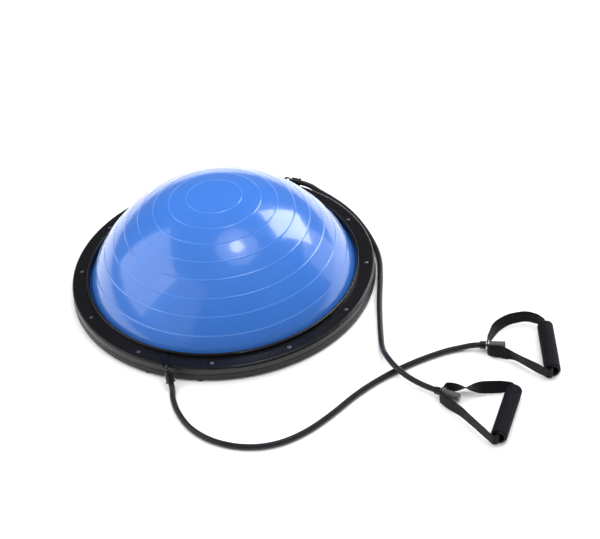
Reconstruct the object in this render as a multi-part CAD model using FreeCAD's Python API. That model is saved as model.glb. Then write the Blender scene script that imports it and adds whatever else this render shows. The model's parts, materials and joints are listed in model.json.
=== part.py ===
"""Balance dome trainer: an air dome clamped on a round platform, with two resistance tubes.

Units are millimetres. The origin is the middle of the platform on the resting surface, +Z is up,
and the front is the -Y side. Each sub-part is written to parts/NODE.step.
"""
import FreeCAD, Part
import math
import os

V = FreeCAD.Vector
UP = V(0, 0, 1)

# ---- driving dimensions: platform and clamp ring ----
ring_outer_radius = 290.0      # outside of the clamp ring's skirt
ring_flat_width = 29.0         # from the lip's outer side to the skirt's outside
ring_thickness = 8.2
ring_edge_round = 4.4
skirt_thickness = 4.0
lip_width = 4.4
lip_height = 7.8               # above the ring's flat top
wall_proud = 1.0               # how far the platform's wall stands out past the skirt
wall_thickness = 7.0
wall_top_drop = 2.0            # from the screw seat down to the top of the platform's wall
wall_chamfer = 2.5
wall_draft = 0.6
seam_gap = 0.9                 # between the ring's skirt and the platform's wall
seat_bore_step = 1.0           # how much wider the screw seat's bore is than the ring's lip
spigot_clearance = 0.6         # between the skirt and the seat that it laps over
foot_height = 2.5              # how far the feet hold the platform off the floor
plate_thickness = 4.5
seat_height = 10.5             # of the screw seat, ribs and bosses above the plate
rib_thickness = 3.0
rib_count = 12
rib_hub_radius = 22.0
rib_ring_count = 4
tread_ring_count = 4
tread_ring_inset = 41.0        # of the outermost tread ring from the platform's edge
tread_ring_width = 4.0

# ---- air dome ----
overall_height = 203.0
dome_lip_gap = 1.3             # between the dome's foot and the ring's bore
dome_wall = 3.0
flange_inset = 4.4             # of the flange's edge from the screw seat's edge
flange_thickness = 3.0
membrane_thickness = 2.5

# ---- ring screws ----
screw_count = 12
screw_inset = 12.5             # of the screw circle from the lip's outer side
first_screw_azimuth = -8.8
screw_shank_radius = 2.0
screw_head_overhang = 2.2
screw_head_height = 2.4
screw_head_sink = 0.5
screw_head_round = 1.2
screw_recess_width = 0.9
screw_recess_depth = 1.2
screw_recess_share = 1.2       # of the head's radius that each arm of the cross is long
screw_turn_share = 2.3         # of a screw's azimuth that its cross is turned by
screw_tip_gap = 1.3            # from the screw's tip to the plate
boss_wall = 3.0
boss_bore_clearance = 0.05
boss_bore_sink = 0.5           # of the boss's bore into the plate
clearance_hole_extra = 0.4

# ---- feet ----
foot_radius = 9.0
foot_stem_radius = 3.0
foot_chamfer = 0.6
foot_stem_proud = 1.5          # of the platform's plate, inside
foot_recess_depth = 1.5
foot_recess_clearance = 0.1
foot_pair_azimuth = -113.6     # middle of the pair of feet by the front anchor
foot_azimuth_offset = 10.1     # each foot stands this far to either side of its pair's middle
anchor_foot_inset = 10.0       # from the platform's edge to a foot's middle
side_foot_inset = 17.0

# ---- resistance tubes ----
tube_radius = 5.25
collar_wall = 1.65
collar_length = 11.0
stopper_overhang = 1.6         # of the stopper's head past the eyelet's bore, all round
stopper_length = 28.5
stopper_round = 1.2
floor_clearance = 0.25         # under the tubes where they lie
tube_run_to_eyelet = 24.0      # straight length that ends at each eyelet
tube_run_from_rear_ferrule = 17.0
front_tube_lift = 0.8          # of the front tube where it starts to rise to its eyelet
corner_share = 0.45            # of the shorter run beside a corner that its arc may take

# ---- tube anchors; headings are seen from above ----
front_anchor_azimuth = -115.0  # of the hook's eye
rear_anchor_azimuth = 60.0
front_hook_heading = -88.0     # the way each hook points, from the lip to its eye
rear_hook_heading = 60.0
front_ferrule_heading = -78.0  # the way each ferrule points
rear_ferrule_heading = -12.0
front_ferrule_dip = 42.0       # and how steeply it points down
rear_ferrule_dip = 16.0
hook_width = 11.0
hook_thickness = 2.4
hook_edge_height = 1.0
hook_edge_width = 1.6
hook_lip_gap = 0.8             # between the ring's lip and the hook's inner end
hook_eye_radius = 3.4
tongue_depth = 6.0
slot_clearance = 0.1
link_ring_radius = 5.2
link_wire_radius = 1.5
ferrule_length = 27.5          # from the link's middle to the ferrule's mouth
ferrule_wall = 2.15
ferrule_rim_overhang = 1.5
ferrule_rim_length = 4.0
ferrule_neck_radius = 4.2
ferrule_neck_length = 3.4
ferrule_shoulder_round = 1.5
ferrule_rim_round = 0.9
ferrule_ring_gap = 1.6         # between the ferrules and the clamp ring, across them

# ---- handles ----
strap_width = 20.0
strap_thickness = 1.8
eyelet_bore_clearance = 0.35
eyelet_barrel_wall = 1.1
eyelet_edge_margin = 0.8       # of webbing beside the eyelet's flange
eyelet_flange_thickness = 1.8
end_gap = 0.3                  # between the swivelling eyelet and the tube's own pieces
grip_length = 120.0
foam_thickness = 2.5
grip_end_round = 2.0
core_bore_clearance = 0.6      # between the webbing's edges and the pipe's bore
core_wall = 1.2
core_overhang = 1.0
grip_clearance = 0.4           # under the middle of a grip
strap_top_overshoot = 7.0      # how far past the grip's end the strap turns, on its top side
strap_low_margin = 1.5         # and on its low side, past the grip's own radius
strap_turn_radius = 6.5
apex_margin = 5.3              # of flat webbing beside the eyelet's flange, with its turn
apex_turn_radius = 5.0

# ---- inflation valve ----
valve_azimuth = 118.0
valve_z = 62.0
valve_seat_wall = 6.0
valve_seat_proud = 1.6
valve_seat_depth = 7.0
valve_bore_radius = 4.0
valve_plug_clearance = 0.05
valve_plug_length = 9.0
valve_flange_overhang = 3.5
valve_flange_thickness = 1.8
valve_tab_thickness = 2.4
valve_tab_width = 9.0
valve_tab_height = 7.0
valve_tab_sink = 0.5           # of the tab into the plug's flange
valve_hole_length = 30.0       # of the hole through the dome's wall, about its surface

# ---- modelling allowances ----
fuse_overlap = 1.0             # of a moulded detail into the body that it belongs to
cut_margin = 1.0               # of a hole's cutter past the face that it pierces
edge_tolerance = 0.01
fillet_wall_share = 0.8        # of a wall that a rounded edge may take

# ---- heights that follow ----
plate_top_z = foot_height + plate_thickness
seat_z = plate_top_z + seat_height
flange_bottom_z = seat_z + membrane_thickness
ring_bottom_z = flange_bottom_z + flange_thickness
ring_top_z = ring_bottom_z + ring_thickness
lip_top_z = ring_top_z + lip_height
wall_top_z = seat_z - wall_top_drop
skirt_bottom_z = wall_top_z + seam_gap
head_seat_z = ring_top_z - screw_head_sink - screw_head_height
screw_length = head_seat_z - plate_top_z - screw_tip_gap

# ---- radii that follow ----
base_radius = ring_outer_radius + wall_proud
ring_flat_inner_radius = ring_outer_radius - ring_flat_width
lip_inner_radius = ring_flat_inner_radius - lip_width
seat_outer_radius = ring_outer_radius - skirt_thickness - spigot_clearance
seat_inner_radius = ring_flat_inner_radius + seat_bore_step
flange_radius = seat_outer_radius - flange_inset
screw_circle_radius = ring_flat_inner_radius + screw_inset
screw_head_radius = screw_shank_radius + screw_head_overhang
screw_hole_radius = screw_shank_radius + clearance_hole_extra
boss_radius = screw_shank_radius + boss_wall
rib_ring_radii = [rib_hub_radius + (seat_inner_radius - rib_hub_radius) * index / rib_ring_count
                  for index in range(rib_ring_count)]
tread_ring_radii = [(base_radius - tread_ring_inset) * (index + 1) / tread_ring_count
                    for index in range(tread_ring_count)]

# ---- the dome's sphere, from its foot and its height ----
dome_foot_radius = lip_inner_radius - dome_lip_gap
dome_rise = overall_height - ring_bottom_z
dome_sphere_radius = (dome_foot_radius ** 2 + dome_rise ** 2) / (2 * dome_rise)
dome_centre_z = overall_height - dome_sphere_radius
valve_seat_radius = valve_bore_radius + valve_seat_wall
valve_flange_radius = valve_bore_radius + valve_flange_overhang

# ---- tube, ferrule, eyelet and grip sizes that follow ----
ferrule_radius = tube_radius + ferrule_wall
ferrule_rim_radius = ferrule_radius + ferrule_rim_overhang
hook_inner_radius = ring_flat_inner_radius + hook_lip_gap
hook_eye_centre = ring_outer_radius + ferrule_radius + ferrule_ring_gap - link_ring_radius
link_z = ring_top_z + hook_thickness / 2
eyelet_bore = tube_radius + eyelet_bore_clearance
eyelet_barrel = eyelet_bore + eyelet_barrel_wall
eyelet_flange_radius = strap_width / 2 - eyelet_edge_margin
eyelet_half = strap_thickness / 2 + eyelet_flange_thickness
tube_end_back = eyelet_half + end_gap
apex_half = eyelet_flange_radius + apex_margin
collar_radius = tube_radius + collar_wall
stopper_radius = eyelet_bore + stopper_overhang
core_inner_radius = math.hypot(strap_width, strap_thickness) / 2 + core_bore_clearance
core_outer_radius = core_inner_radius + core_wall
grip_radius = core_outer_radius + foam_thickness
tube_floor_z = tube_radius + floor_clearance
grip_centre_z = grip_radius + grip_clearance
strap_low_overshoot = grip_radius + strap_low_margin


# ---- shared shapes ----
def polar(radius, azimuth, z=0.0):
    angle = math.radians(azimuth)
    return V(radius * math.cos(angle), radius * math.sin(angle), z)


def cylinder(radius, height, base, axis=UP):
    return Part.makeCylinder(radius, height, base, axis)


def tube_ring(outer, inner, z_low, z_high):
    height = z_high - z_low
    body = cylinder(outer, height, V(0, 0, z_low))
    return body.cut(cylinder(inner, height, V(0, 0, z_low)))


def revolve(edges):
    """Turn a closed outline in the XZ plane once round the Z axis."""
    face = Part.Face(Part.Wire(edges))
    return face.revolve(V(0, 0, 0), UP, 360)


def outline(points):
    """Straight edges through (radius, z) points, closed."""
    corners = [V(r, 0, z) for r, z in points]
    return [Part.LineSegment(a, b).toShape() for a, b in zip(corners, corners[1:] + corners[:1])]


def arc_edge(start, middle, end):
    return Part.Arc(start, middle, end).toShape()


def oriented(shape, origin, x_axis, z_hint=UP):
    """Move a shape from its own frame to origin, with its X axis along x_axis."""
    x_dir = V(x_axis).normalize()
    y_dir = z_hint.cross(x_dir).normalize()
    z_dir = x_dir.cross(y_dir)
    matrix = FreeCAD.Matrix(
        x_dir.x, y_dir.x, z_dir.x, origin.x,
        x_dir.y, y_dir.y, z_dir.y, origin.y,
        x_dir.z, y_dir.z, z_dir.z, origin.z,
        0, 0, 0, 1)
    return shape.transformed(matrix, True)


def rounded_path(points, radii):
    """Edges of a path of straight runs joined by tangent arcs, one radius for each inner point."""
    edges, here = [], points[0]
    for before, corner, after, radius in zip(points, points[1:], points[2:], radii):
        back = (before - corner).normalize()
        ahead = (after - corner).normalize()
        half_turn = (math.pi - back.getAngle(ahead)) / 2
        trim = radius * math.tan(half_turn)
        middle = corner + (back + ahead).normalize() * (radius / math.cos(half_turn) - radius)
        edges.append(Part.LineSegment(here, corner + back * trim).toShape())
        edges.append(arc_edge(corner + back * trim, middle, corner + ahead * trim))
        here = corner + ahead * trim
    edges.append(Part.LineSegment(here, points[-1]).toShape())
    return edges


# ---- platform ----
def screw_azimuths():
    return [first_screw_azimuth + index * 360.0 / screw_count for index in range(screw_count)]


def foot_places():
    """Radius and azimuth of each foot: a pair by each anchor and a pair at each side."""
    middles = ((foot_pair_azimuth, anchor_foot_inset),
               (foot_pair_azimuth + 180, anchor_foot_inset),
               (foot_pair_azimuth + 90, side_foot_inset),
               (foot_pair_azimuth - 90, side_foot_inset))
    return [(base_radius - inset, middle + side * foot_azimuth_offset)
            for middle, inset in middles for side in (-1, 1)]


def base_platform():
    """Tray with raised tread rings below, and ribs, a screw seat and bosses inside."""
    tray = revolve(outline([
        (0, foot_height), (base_radius - wall_chamfer, foot_height),
        (base_radius, foot_height + wall_chamfer), (base_radius - wall_draft, wall_top_z),
        (base_radius - wall_thickness, wall_top_z), (base_radius - wall_thickness, plate_top_z),
        (0, plate_top_z)]))
    rib_low_z = plate_top_z - fuse_overlap
    tray = tray.fuse(tube_ring(seat_outer_radius, seat_outer_radius - rib_thickness,
                               rib_low_z, seat_z))
    tray = tray.fuse(tube_ring(seat_inner_radius + rib_thickness, seat_inner_radius,
                               rib_low_z, seat_z))
    for radius in rib_ring_radii:
        tray = tray.fuse(tube_ring(radius + rib_thickness / 2, radius - rib_thickness / 2,
                                   rib_low_z, seat_z))
    for radius in tread_ring_radii:
        tray = tray.fuse(tube_ring(radius + tread_ring_width / 2, radius - tread_ring_width / 2,
                                   0, foot_height + fuse_overlap))
    rib_start = rib_ring_radii[0]
    rib_end = seat_outer_radius - rib_thickness / 2
    for index in range(rib_count):
        azimuth = first_screw_azimuth + (index + 0.5) * 360.0 / rib_count
        rib = Part.makeBox(rib_end - rib_start, rib_thickness, seat_z - rib_low_z,
                           V(rib_start, -rib_thickness / 2, rib_low_z))
        rib.rotate(V(0, 0, 0), UP, azimuth)
        tray = tray.fuse(rib)
    for azimuth in screw_azimuths():
        boss = cylinder(boss_radius, seat_z - rib_low_z,
                        polar(screw_circle_radius, azimuth, rib_low_z))
        bore = cylinder(screw_shank_radius + boss_bore_clearance,
                        seat_height + boss_bore_sink + cut_margin,
                        polar(screw_circle_radius, azimuth, plate_top_z - boss_bore_sink))
        tray = tray.fuse(boss).cut(bore)
    for radius, azimuth in foot_places():
        recess = cylinder(foot_radius + foot_recess_clearance, foot_recess_depth,
                          polar(radius, azimuth, foot_height))
        stem_hole = cylinder(foot_stem_radius, plate_thickness + foot_stem_proud,
                             polar(radius, azimuth, foot_height))
        tray = tray.cut(recess).cut(stem_hole)
    return tray.removeSplitter()


def rubber_foot(radius, azimuth):
    """A round pad in its recess, with a stem pressed up through the platform's plate."""
    pad = cylinder(foot_radius, foot_height + foot_recess_depth, V(0, 0, 0))
    pad = pad.makeChamfer(foot_chamfer,
                          [edge for edge in pad.Edges if edge.BoundBox.ZMax < edge_tolerance])
    stem = cylinder(foot_stem_radius, plate_top_z + foot_stem_proud, V(0, 0, 0))
    foot = pad.fuse(stem)
    foot.translate(polar(radius, azimuth))
    return foot


# ---- air dome ----
def dome_point(radius_of_sphere, z):
    """Where a sphere about the dome's centre is at height z, in the XZ plane."""
    height = z - dome_centre_z
    return V(math.sqrt(radius_of_sphere ** 2 - height ** 2), 0, z)


def valve_normal():
    """Outward direction of the dome's surface at the valve."""
    rise = (valve_z - dome_centre_z) / dome_sphere_radius
    return polar(math.sqrt(1 - rise ** 2), valve_azimuth, rise)


def valve_point(offset):
    """A point on the valve's axis, offset outward from the dome's surface."""
    return V(0, 0, dome_centre_z) + valve_normal() * (dome_sphere_radius + offset)


def dome_shell():
    """Round air dome with a flat flange all round its foot."""
    inner_radius = dome_sphere_radius - dome_wall
    middle_z = (ring_bottom_z + overall_height) / 2
    outer_foot = dome_point(dome_sphere_radius, ring_bottom_z)
    inner_foot = dome_point(inner_radius, flange_bottom_z)
    outer_top, inner_top = V(0, 0, overall_height), V(0, 0, overall_height - dome_wall)
    flange = [outer_foot, V(flange_radius, 0, ring_bottom_z),
              V(flange_radius, 0, flange_bottom_z), inner_foot]
    edges = [arc_edge(outer_top, dome_point(dome_sphere_radius, middle_z), outer_foot)]
    edges += [Part.LineSegment(a, b).toShape() for a, b in zip(flange, flange[1:])]
    edges += [arc_edge(inner_foot, dome_point(inner_radius, middle_z), inner_top),
              Part.LineSegment(inner_top, outer_top).toShape()]
    shell = revolve(edges)
    for azimuth in screw_azimuths():
        shell = shell.cut(cylinder(screw_hole_radius, flange_thickness + 2 * cut_margin,
                                   polar(screw_circle_radius, azimuth,
                                         flange_bottom_z - cut_margin)))
    return shell.cut(cylinder(valve_seat_radius, valve_hole_length,
                              valve_point(-valve_hole_length / 2), valve_normal()))


def base_membrane():
    """Flat sheet that closes the air space, clamped under the dome's flange."""
    sheet = cylinder(flange_radius, membrane_thickness, V(0, 0, seat_z))
    for azimuth in screw_azimuths():
        sheet = sheet.cut(cylinder(screw_hole_radius, membrane_thickness,
                                   polar(screw_circle_radius, azimuth, seat_z)))
    return sheet


def valve_seat():
    """Moulded boss welded into the dome's wall, bored for the plug."""
    axis = valve_normal()
    seat = cylinder(valve_seat_radius, valve_seat_proud + valve_seat_depth,
                    valve_point(-valve_seat_depth), axis)
    return seat.cut(cylinder(valve_bore_radius, valve_seat_proud + valve_seat_depth,
                             valve_point(-valve_seat_depth), axis))


def valve_plug():
    """Plug with a flange and a pull tab."""
    axis = valve_normal()
    stem = cylinder(valve_bore_radius - valve_plug_clearance, valve_plug_length,
                    valve_point(valve_seat_proud - valve_plug_length), axis)
    flange = cylinder(valve_flange_radius, valve_flange_thickness,
                      valve_point(valve_seat_proud), axis)
    tab = Part.makeBox(valve_tab_height, valve_tab_width, valve_tab_thickness,
                       V(0, -valve_tab_width / 2, -valve_tab_thickness / 2))
    tab_foot = valve_seat_proud + valve_flange_thickness - valve_tab_sink
    tab = oriented(tab, valve_point(tab_foot), axis)
    return stem.fuse(flange).fuse(tab).removeSplitter()


# ---- clamp ring and its screws ----
def clamp_ring():
    """Flat ring with a raised round lip inside and a skirt outside."""
    half_lip = (ring_flat_inner_radius - lip_inner_radius) / 2
    lip_middle = lip_inner_radius + half_lip
    lip_side_z = lip_top_z - half_lip
    slope = ring_edge_round * (1 - math.sqrt(0.5))
    skirt_inner = ring_outer_radius - skirt_thickness
    corners = [(ring_outer_radius - ring_edge_round, ring_top_z),
               (ring_flat_inner_radius, ring_top_z), (ring_flat_inner_radius, lip_side_z)]
    foot = [(lip_inner_radius, lip_side_z), (lip_inner_radius, ring_bottom_z),
            (skirt_inner, ring_bottom_z), (skirt_inner, skirt_bottom_z),
            (ring_outer_radius, skirt_bottom_z),
            (ring_outer_radius, ring_top_z - ring_edge_round)]
    edges = outline(corners)[:2]
    edges.append(arc_edge(V(ring_flat_inner_radius, 0, lip_side_z), V(lip_middle, 0, lip_top_z),
                          V(lip_inner_radius, 0, lip_side_z)))
    edges += outline(foot)[:5]
    edges.append(arc_edge(V(ring_outer_radius, 0, ring_top_z - ring_edge_round),
                          V(ring_outer_radius - slope, 0, ring_top_z - slope),
                          V(ring_outer_radius - ring_edge_round, 0, ring_top_z)))
    ring = revolve(edges)
    for azimuth in screw_azimuths():
        ring = ring.cut(cylinder(screw_hole_radius, ring_top_z,
                                 polar(screw_circle_radius, azimuth, 0)))
        ring = ring.cut(cylinder(screw_head_radius + clearance_hole_extra,
                                 screw_head_height + screw_head_sink,
                                 polar(screw_circle_radius, azimuth, head_seat_z)))
    for anchor in (front_anchor, rear_anchor):
        ring = ring.cut(anchor.place(hook_tongue(slot_clearance)))
    return ring


def ring_screw(azimuth):
    """Round-headed screw with a cross recess."""
    shank = cylinder(screw_shank_radius, screw_length, V(0, 0, head_seat_z - screw_length))
    head = cylinder(screw_head_radius, screw_head_height, V(0, 0, head_seat_z))
    head = head.makeFillet(screw_head_round,
                           [edge for edge in head.Edges
                            if edge.BoundBox.ZMin > head_seat_z + screw_head_height / 2])
    arm = screw_head_radius * screw_recess_share
    recess_z = head_seat_z + screw_head_height - screw_recess_depth
    screw = shank.fuse(head)
    for length, width in ((arm, screw_recess_width), (screw_recess_width, arm)):
        screw = screw.cut(Part.makeBox(length, width, screw_recess_depth,
                                       V(-length / 2, -width / 2, recess_z)))
    screw.rotate(V(0, 0, 0), UP, azimuth * screw_turn_share)
    screw.translate(polar(screw_circle_radius, azimuth))
    return screw


# ---- tube anchors ----
class Anchor:
    """Where a tube is hooked on: its hook's eye and the ways its hook and its ferrule point."""

    def __init__(self, azimuth, hook_heading, ferrule_heading, ferrule_dip):
        self.eye = polar(hook_eye_centre, azimuth)
        self.hook_heading = hook_heading
        # The nearest point of the hook's inner end lies on the circle of hook_inner_radius.
        along = self.eye.dot(polar(1, hook_heading))
        aside = self.eye.cross(polar(1, hook_heading)).Length
        nearest = max(0.0, aside - hook_width / 2)
        self.hook_length = along - math.sqrt(hook_inner_radius ** 2 - nearest ** 2)
        self.link_centre = self.eye + V(0, 0, link_z) + polar(link_ring_radius, ferrule_heading)
        dip = math.radians(ferrule_dip)
        self.ferrule_way = polar(math.cos(dip), ferrule_heading, -math.sin(dip))

    def place(self, shape):
        """Move a shape made along +X from the hook's inner end."""
        shape.rotate(V(0, 0, 0), UP, self.hook_heading)
        shape.translate(self.eye - polar(self.hook_length, self.hook_heading))
        return shape

    def mouth(self):
        return self.link_centre + self.ferrule_way * ferrule_length


front_anchor = Anchor(front_anchor_azimuth, front_hook_heading,
                      front_ferrule_heading, front_ferrule_dip)
rear_anchor = Anchor(rear_anchor_azimuth, rear_hook_heading,
                     rear_ferrule_heading, rear_ferrule_dip)


def hook_tongue(grow=0.0):
    """The hook's inner end, turned down into the ring."""
    return Part.makeBox(hook_thickness + 2 * grow, hook_width + 2 * grow,
                        tongue_depth + grow + fuse_overlap,
                        V(-grow, -hook_width / 2 - grow, ring_top_z - tongue_depth - grow))


def band_hook(anchor):
    """Flat hook across the ring, with raised edges and an eye that stands past the ring."""
    length = anchor.hook_length
    plate = Part.makeBox(length, hook_width, hook_thickness, V(0, -hook_width / 2, ring_top_z))
    plate = plate.fuse(cylinder(hook_width / 2, hook_thickness, V(length, 0, ring_top_z)))
    for side in (-1, 1):
        edge_y = side * (hook_width - hook_edge_width) / 2 - hook_edge_width / 2
        ridge = Part.makeBox(length - hook_width / 2, hook_edge_width,
                             hook_thickness + hook_edge_height, V(0, edge_y, ring_top_z))
        plate = plate.fuse(ridge)
    plate = plate.fuse(hook_tongue())
    plate = plate.cut(cylinder(hook_eye_radius, 3 * hook_thickness,
                               V(length, 0, ring_top_z - hook_thickness)))
    return anchor.place(plate.removeSplitter())


def ferrule(anchor):
    """Turned sleeve with a wide rim at its mouth and a link ring at its other end."""
    neck_start = link_ring_radius
    body_start = neck_start + ferrule_neck_length
    rim_start = ferrule_length - ferrule_rim_length
    along = V(1, 0, 0)
    sleeve = cylinder(ferrule_neck_radius, ferrule_neck_length + fuse_overlap,
                      V(neck_start, 0, 0), along)
    body = cylinder(ferrule_radius, rim_start - body_start + fuse_overlap,
                    V(body_start, 0, 0), along)
    body = body.makeFillet(ferrule_shoulder_round,
                           [edge for edge in body.Edges
                            if edge.BoundBox.XMax < body_start + edge_tolerance])
    rim = cylinder(ferrule_rim_radius, ferrule_rim_length, V(rim_start, 0, 0), along)
    rim = rim.makeFillet(ferrule_rim_round, [edge for edge in rim.Edges
                                             if edge.BoundBox.XLength < edge_tolerance])
    link = Part.makeTorus(link_ring_radius, link_wire_radius, V(0, 0, 0), V(0, 1, 0))
    whole = sleeve.fuse(body).fuse(rim).fuse(link)
    return oriented(whole, anchor.link_centre, anchor.ferrule_way)


# ---- handles ----
class Handle:
    """Where one handle lies: its eyelet, the way its swivel axis runs and its strap's outline."""

    def __init__(self, name, eyelet, heading, reach, grip_turn, grip_slide, top_side, low_side):
        self.name = name
        self.eyelet = eyelet
        self.reach = reach
        self.turn = math.radians(grip_turn)
        self.slide = grip_slide
        rise = grip_centre_z - eyelet.z
        flat = math.sqrt(reach ** 2 - rise ** 2)
        self.axis = (polar(flat, heading) + V(0, 0, rise)).normalize()
        self.top_side = top_side
        self.low_side = low_side

    def grip_line(self):
        return V(-math.sin(self.turn), math.cos(self.turn), 0)

    def grip_middle(self):
        return V(self.reach, 0, 0) + self.grip_line() * self.slide

    def place(self, shape):
        return oriented(shape, self.eyelet, self.axis)

    def back(self, distance):
        """A point on the swivel axis, behind the eyelet on the tube's side."""
        return self.eyelet - self.axis * distance


# Each side of the strap is a list of (along the swivel axis, across it, turn radius).
front_handle = Handle(
    "front", V(452, -300, 12.5), -14.2, 107.7, 7.5, -5.0,
    top_side=((0, apex_half, 15), (12, 50, 50), (34, 72, 50), (66, 82, 30), (88, 73, 25)),
    low_side=((46, -27, 60), (24, -18, 30)))
rear_handle = Handle(
    "rear", V(351, -406, 12.5), -36.4, 121.2, 11.4, -2.0,
    top_side=((0, apex_half, apex_turn_radius), (40, 31, 60), (90, 56, 40)),
    low_side=((50, -31, 80), (16, -20.5, 20)))


def strap_centreline(handle):
    """Closed path of the strap, flat in the handle's own XY plane."""
    line, middle = handle.grip_line(), handle.grip_middle()
    top = middle + line * (grip_length / 2 + strap_top_overshoot)
    low = middle - line * (grip_length / 2 + strap_low_overshoot)
    corners = [(V(0, 0, 0), None)]
    corners += [(V(x, y, 0), radius) for x, y, radius in handle.top_side]
    corners += [(top, strap_turn_radius), (low, strap_turn_radius)]
    corners += [(V(x, y, 0), radius) for x, y, radius in handle.low_side]
    corners += [(V(0, -apex_half, 0), apex_turn_radius), (V(0, 0, 0), None)]
    return rounded_path([point for point, _ in corners],
                        [radius for _, radius in corners[1:-1]])


def strap(handle):
    """Webbing loop standing on edge, pierced for the eyelet."""
    centreline = Part.Wire(strap_centreline(handle))
    outer = centreline.makeOffset2D(strap_thickness / 2)
    inner = centreline.makeOffset2D(-strap_thickness / 2)
    loop = Part.Face(outer).cut(Part.Face(inner)).Faces[0]
    loop.translate(V(0, 0, -strap_width / 2))
    loop = loop.extrude(V(0, 0, strap_width))
    hole = cylinder(eyelet_barrel, 4 * strap_thickness, V(-2 * strap_thickness, 0, 0), V(1, 0, 0))
    return handle.place(loop.cut(hole))


def eyelet_ring(outer, inner, start, end):
    ring = cylinder(outer, end - start, V(start, 0, 0), V(1, 0, 0))
    return ring.cut(cylinder(inner, end - start, V(start, 0, 0), V(1, 0, 0)))


def eyelet(handle):
    """Flanged eyelet through the strap."""
    flange = eyelet_ring(eyelet_flange_radius, eyelet_bore, -eyelet_half, -strap_thickness / 2)
    barrel = eyelet_ring(eyelet_barrel, eyelet_bore, -eyelet_half, eyelet_half)
    return handle.place(flange.fuse(barrel).removeSplitter())


def eyelet_washer(handle):
    """Washer that the eyelet's barrel is set over, inside the loop."""
    return handle.place(eyelet_ring(eyelet_flange_radius, eyelet_barrel,
                                    strap_thickness / 2, eyelet_half))


def along_grip(handle, radius, length):
    line = handle.grip_line()
    return cylinder(radius, length, handle.grip_middle() - line * (length / 2), line)


def grip_core(handle):
    """Rigid pipe inside the foam; it turns freely on the strap."""
    length = grip_length + 2 * core_overhang
    pipe = along_grip(handle, core_outer_radius, length)
    return handle.place(pipe.cut(along_grip(handle, core_inner_radius, length)))


def foam_grip(handle):
    foam = along_grip(handle, grip_radius, grip_length)
    rims = [edge for edge in foam.Edges if isinstance(edge.Curve, Part.Circle)]
    foam = foam.makeFillet(min(grip_end_round, foam_thickness * fillet_wall_share), rims)
    bore = along_grip(handle, core_outer_radius, grip_length + 2 * cut_margin)
    return handle.place(foam.cut(bore))


# ---- resistance tubes ----
def collar(handle):
    """Sleeve on the tube, just outside the eyelet."""
    sleeve = eyelet_ring(collar_radius, tube_radius, -tube_end_back - collar_length, -tube_end_back)
    return handle.place(sleeve)


def stopper(handle):
    """Plug whose neck passes through the eyelet and whose head can't."""
    neck = cylinder(tube_radius, 2 * tube_end_back + fuse_overlap, V(-tube_end_back, 0, 0),
                    V(1, 0, 0))
    head = cylinder(stopper_radius, stopper_length, V(tube_end_back, 0, 0), V(1, 0, 0))
    head = head.makeFillet(stopper_round, [edge for edge in head.Edges
                                           if edge.BoundBox.XLength < edge_tolerance])
    return handle.place(neck.fuse(head))


def cord_tube(name, points):
    """Round tube along straight runs joined by wide tangent arcs."""
    radii = []
    for before, corner, after in zip(points, points[1:], points[2:]):
        half_turn = (math.pi - (before - corner).getAngle(after - corner)) / 2
        shorter = min((before - corner).Length, (after - corner).Length)
        radii.append(corner_share * shorter / math.tan(half_turn))
    path = Part.Wire(rounded_path(points, radii))
    start = (points[1] - points[0]).normalize()
    section = Part.Wire(Part.makeCircle(tube_radius, points[0], start))
    tube = path.makePipeShell([section], True, False)
    print(name, "length", round(path.Length, 1), "least bend radius", round(min(radii), 1))
    return tube


def front_tube_route():
    """From the front ferrule down to the floor, in a wide bow and up to the front eyelet."""
    mouth, way = front_anchor.mouth(), front_anchor.ferrule_way
    points = [mouth, mouth + way * ((mouth.z - tube_floor_z) / -way.z)]
    points += [V(x, y, tube_floor_z) for x, y in (
        (-119, -322), (-112, -362), (-92, -408), (-55, -446), (-4, -470), (50, -473),
        (104, -453), (155, -416), (206, -371), (262, -336), (322, -309), (376, -293))]
    points.append(V(405, -290.6, tube_floor_z + front_tube_lift))
    points += [front_handle.back(tube_run_to_eyelet), front_handle.back(tube_end_back)]
    return points


def rear_tube_route():
    """From the rear ferrule round the platform, over the front tube and to the rear eyelet."""
    mouth, way = rear_anchor.mouth(), rear_anchor.ferrule_way
    points = [mouth, mouth + way * tube_run_from_rear_ferrule]
    points += [V(*place) for place in (
        (212, 226, 13.5), (238, 200, 7.5), (262, 163, tube_floor_z), (281, 114, tube_floor_z),
        (295, 56, tube_floor_z), (302, -4, tube_floor_z), (292.5, -70, tube_floor_z),
        (280.5, -134, tube_floor_z), (273.5, -186, tube_floor_z), (268.5, -228, tube_floor_z),
        (265, -266, 8.5), (268, -302, 19.5), (281, -338, 19.5), (303, -368, 16))]
    points += [rear_handle.back(tube_run_to_eyelet), rear_handle.back(tube_end_back)]
    return points


# ---- all nodes ----
def parts():
    nodes = {
        "base_platform": base_platform(),
        "rubber_feet": Part.makeCompound([rubber_foot(*place) for place in foot_places()]),
        "base_membrane": base_membrane(),
        "dome_shell": dome_shell(),
        "valve_seat": valve_seat(),
        "valve_plug": valve_plug(),
        "clamp_ring": clamp_ring(),
        "ring_screws": Part.makeCompound([ring_screw(azimuth) for azimuth in screw_azimuths()]),
    }
    for side, anchor in (("front", front_anchor), ("rear", rear_anchor)):
        nodes[side + "_hook"] = band_hook(anchor)
        nodes[side + "_ferrule"] = ferrule(anchor)
    nodes["front_tube"] = cord_tube("front_tube", front_tube_route())
    nodes["rear_tube"] = cord_tube("rear_tube", rear_tube_route())
    for handle in (front_handle, rear_handle):
        nodes[handle.name + "_tube_collar"] = collar(handle)
        nodes[handle.name + "_tube_stopper"] = stopper(handle)
        nodes[handle.name + "_strap"] = strap(handle)
        nodes[handle.name + "_eyelet"] = eyelet(handle)
        nodes[handle.name + "_eyelet_washer"] = eyelet_washer(handle)
        nodes[handle.name + "_grip_core"] = grip_core(handle)
        nodes[handle.name + "_foam_grip"] = foam_grip(handle)
    return nodes


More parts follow.
